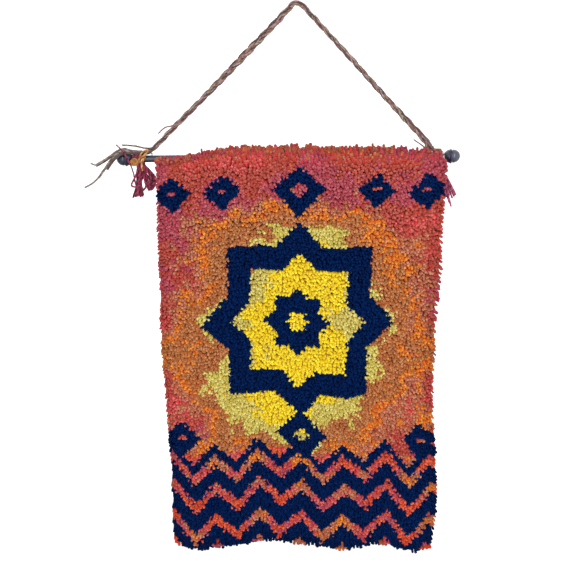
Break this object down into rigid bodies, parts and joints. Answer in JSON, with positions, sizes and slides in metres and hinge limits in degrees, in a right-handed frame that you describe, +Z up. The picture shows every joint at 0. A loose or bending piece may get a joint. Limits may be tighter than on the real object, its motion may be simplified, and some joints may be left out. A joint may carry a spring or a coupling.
{
  "type": "latch hook wall hanging with its wooden rod",
  "caption": "Shaggy latch hook wall hanging on a dark wooden rod with acorn finials, hung by a plaited yarn hanger, with wine yarn tassels.",
  "frame": {"origin": "the underside of the plait's bend, where the hanging rests on its nail", "axes": "+Z up, +X to the right as seen from the front, +Y towards the wall, so the pile faces -Y"},
  "size_m": [0.6716, 0.044, 1.0322],
  "materials": {
    "pile": "thick acrylic rug yarn, cut pile in reds, rust, orange, gold, yellow and navy",
    "canvas": "stiff open cotton canvas, off-white",
    "painted_wood": "blue-black paint, satin",
    "plait_yarn": "plaited mauve-brown yarn with olive and gold flecks",
    "gold_yarn": "gold-orange rug yarn",
    "wine_yarn": "wine-red rug yarn"
  },
  "bodies": {
    "root": {"cloth": "pile", "rod": "painted_wood", "finial_left": "painted_wood", "finial_right": "painted_wood", "hanger": "plait_yarn", "ends_left": "plait_yarn", "ends_right": "plait_yarn", "gold_tie": "gold_yarn", "tassel_left": "wine_yarn", "tassel_right": "wine_yarn"}
  },
  "joints": []
}
